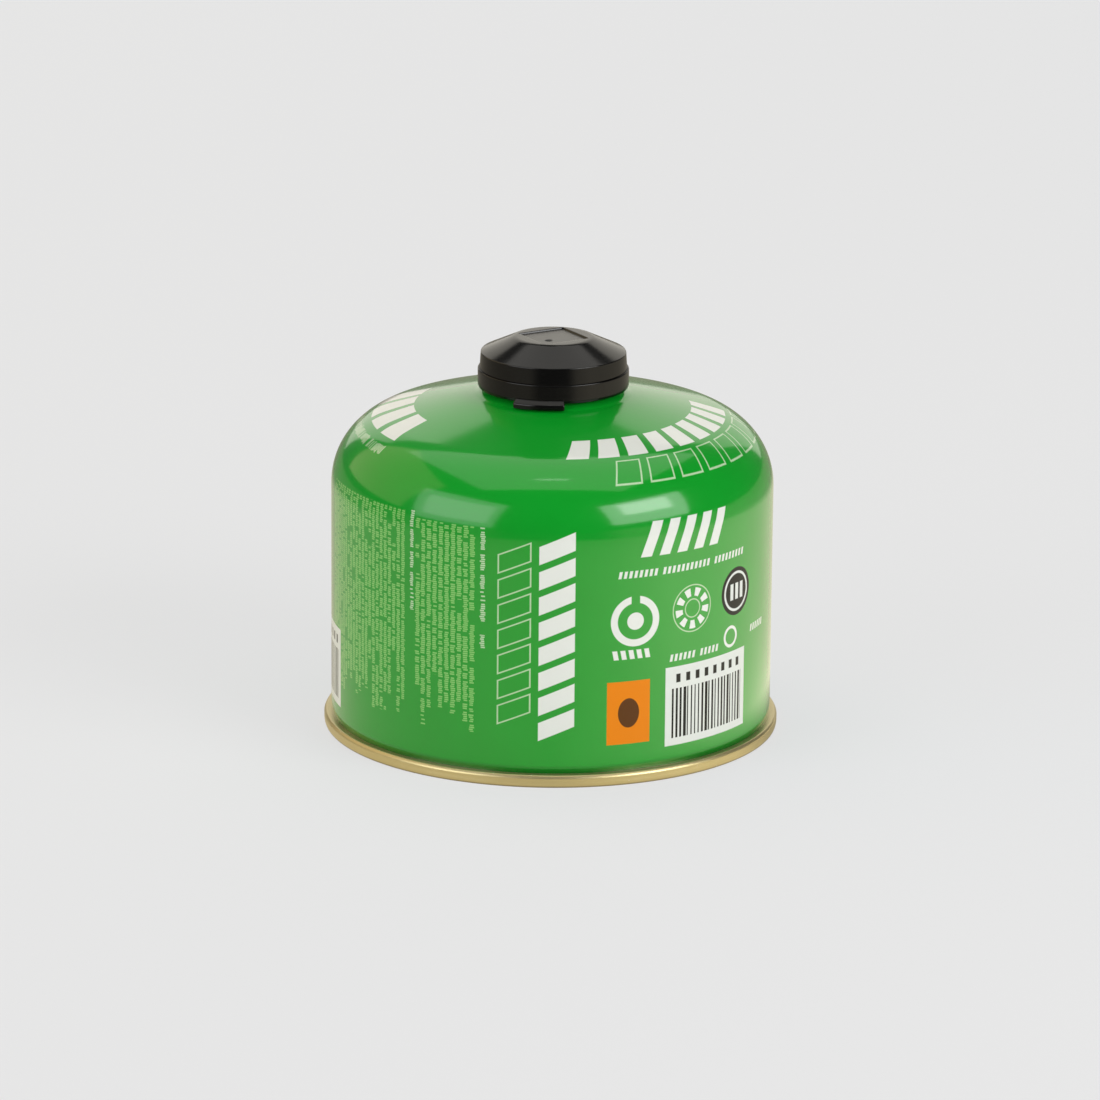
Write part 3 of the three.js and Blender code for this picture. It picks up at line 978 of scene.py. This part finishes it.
tableLook = {
    "side": 9.0,  # metres
    "pale": (0.79, 0.79, 0.79, 1),
    "glowFront": (0.777, 0.784, 0.798, 1),
    "glowBack": (0.846, 0.856, 0.874, 1),
    "glowMiddle": 300.0,  # where the glow turns from one to the other, and over what length
    "glowReach": 1200.0,
    "cut": 0.74,  # how much of the shade the camera doesn't see
    "mirror": (1.0, 0.90, 0.68),
    # how bright the table is in reflections, in tenths, by azimuth in degrees
    "mirrorRound": ((-180, 1.8), (-145, 2.1), (-115, 2.5), (-60, 3.3), (-30, 3.2), (0, 2.9),
                    (28, 4.9), (58, 8.4), (92, 6.8), (122, 4.0), (150, 2.9), (180, 1.8)),
    "mirrorLevel": 3.0,
    "mirrorCut": 0.9,  # the same as cut, for reflections
    "farFrom": 280.0,  # reflections see the table dimmer beyond this distance
    "farLevel": 0.38,
    "closeTo": 66.0,  # and dimmer within this one, most to the right: painted shade of the can on the table, seen in reflections
    "darkFrom": 300.0,  # and dark beyond this one in front
    "darkTurn": 0.62,  # radians to either side of the front
}


def mirrorOf(look, flow, away, angle):
    # reflections see a sheet that is brighter to the right and a dark room past its front edge
    stops = [((a + 180) / 360, (v / 10, v / 10, v / 10, 1)) for a, v in look["mirrorRound"]]
    level = flow.node("ShaderNodeValToRGB", {"stops": stops}, {0: angle / (2 * math.pi) + 0.5})
    near = inside(away - look["farFrom"], 80)
    close = inside(away - look["closeTo"], 14)
    fromFront = angle / look["darkTurn"]
    dark = ((1 - fromFront * fromFront).most(0) * 1.6).least(1) * inside(look["darkFrom"] - away, 40)
    level = level * look["mirrorLevel"] * (near * (1 - look["farLevel"]) + look["farLevel"])
    level = level * (1 - dark * 0.97)
    # painted shade: reflections see the table darker close round the can, most to the right
    level = level * (1 - close * ((angle * 0.5).most(0) + 0.1).least(0.78))
    return flow.node("ShaderNodeVectorMath", {"operation": "SCALE"}, {0: look["mirror"], "Scale": level})


def flatSheet(name, wide, tall, material):
    mesh = bpy.data.meshes.new(name)
    corners = [(-wide, -tall, 0), (wide, -tall, 0), (wide, tall, 0), (-wide, tall, 0)]
    mesh.from_pydata(corners, [], [(0, 1, 2, 3)])
    sheet = bpy.data.objects.new(name, mesh)
    bpy.context.collection.objects.link(sheet)
    dress(sheet, material)
    return sheet


def paleTable(look):
    material, flow, shader = startFinish("palePaper")
    shader.inputs["Base Color"].default_value = look["pale"]
    shader.inputs["Roughness"].default_value = 0.9
    shader.inputs["Specular IOR Level"].default_value = 0.1
    seen = flow.node("ShaderNodeLightPath", out=0)
    glossy = flow.node("ShaderNodeLightPath", out=3)
    x, y, z, away, angle, place = placeIn(flow)
    toBack = inside(y * -1 + look["glowMiddle"], look["glowReach"])
    plain = mixOf(flow, toBack, look["glowFront"], look["glowBack"])
    plain = mixOf(flow, glossy, plain, mirrorOf(look, flow, away, angle))
    glow = flow.node("ShaderNodeEmission", None, {"Color": plain, "Strength": 1.0})
    lit = Flow(flow.tree, shader.outputs[0])
    part = seen * look["cut"] + glossy * look["mirrorCut"]
    both = flow.node("ShaderNodeMixShader", None, {0: part, 1: lit, 2: glow})
    output = next(n for n in flow.tree.nodes if n.type == "OUTPUT_MATERIAL")
    flow.tree.links.new(both.socket, output.inputs[0])
    table = flatSheet("paleTable", look["side"] / 2, look["side"] / 2, material)


# Each lamp: azimuth from the front to the right and elevation in degrees, seen from the can's middle, then
# its distance and sides in metres and the radiance of its face.
lampLooks = {
    "rightBox": {"azimuth": 52, "elevation": 27, "distance": 1.28, "sides": (0.6, 0.34), "radiance": 5.2},
    "rightHalo": {"azimuth": 52, "elevation": 22, "distance": 1.32, "sides": (1.06, 0.72), "radiance": 3.8},
    "leftBox": {"azimuth": -51, "elevation": 20, "distance": 1.28, "sides": (0.84, 0.56), "radiance": 1.5},
    "leftHalo": {"azimuth": -52, "elevation": 20, "distance": 1.32, "sides": (1.12, 0.88), "radiance": 1.7},
    "overBox": {"azimuth": 180, "elevation": 83, "distance": 1.5, "sides": (1.94, 1.95), "radiance": 1.1},
    "overSpot": {"azimuth": 0, "elevation": 81, "distance": 1.4, "sides": (0.26, 0.04), "radiance": 5.0},
    "backSheet": {"azimuth": 178, "elevation": 19, "distance": 2.0, "sides": (2.3, 1.32), "radiance": 1.0},
    "leftSheet": {"azimuth": -110, "elevation": 28, "distance": 1.8, "sides": (1.9, 1.5), "radiance": 0.86},
}
lampTones = {"overBox": (1.0, 0.97, 0.91), "backSheet": (1.0, 0.95, 0.84), "leftSheet": (1.0, 0.8, 0.48)}


def facingMiddle(look):
    a, e = math.radians(look["azimuth"]), math.radians(look["elevation"])
    out = Vector((math.sin(a) * math.cos(e), -math.cos(a) * math.cos(e), math.sin(e)))
    turn = (-out).to_track_quat("-Z", "Y").to_matrix().to_4x4()
    return Matrix.Translation(Vector((0, 0, 0.05)) + out * look["distance"]) @ turn


def hangLamp(name, look):
    data = bpy.data.lights.new(name, "AREA")
    data.shape = "RECTANGLE"
    data.size, data.size_y = look["sides"]
    data.color = lampTones.get(name, (1.0, 1.0, 1.0))
    data.energy = look["radiance"] * math.pi * look["sides"][0] * look["sides"][1]
    lamp = bpy.data.objects.new(name, data)
    bpy.context.collection.objects.link(lamp)
    lamp.matrix_world = facingMiddle(look)


flagLook = {"azimuth": 182.0, "elevation": 43.0, "distance": 1.3, "sides": (0.12, 0.58)}


def darkFlag(look):
    # a black card hung between the can and the upper lamp: it shows as a dark patch on the crown
    material, flow, shader = startFinish("blackCard")
    shader.inputs["Base Color"].default_value = (0.004, 0.004, 0.004, 1)
    shader.inputs["Roughness"].default_value = 1.0
    flag = flatSheet("darkFlag", look["sides"][0] / 2, look["sides"][1] / 2, material)
    flag.matrix_world = facingMiddle(look)


worldLook = {"room": (0.07, 0.07, 0.07, 1), "backdrop": (0.79, 0.79, 0.79, 1)}


def paleWorld(look):
    world = bpy.data.worlds.new("paleRoom")
    world.use_nodes = True
    bpy.context.scene.world = world
    flow = Flow(world.node_tree)
    seen = flow.node("ShaderNodeLightPath", out=0)
    colour = mixOf(flow, seen, look["room"], look["backdrop"])
    background = next(n for n in world.node_tree.nodes if n.type == "BACKGROUND")
    world.node_tree.links.new(colour.socket, background.inputs[0])


paleTable(tableLook)
for lampName, lampLook in lampLooks.items():
    hangLamp(lampName, lampLook)
darkFlag(flagLook)
paleWorld(worldLook)
print("table, lamps and world ready")
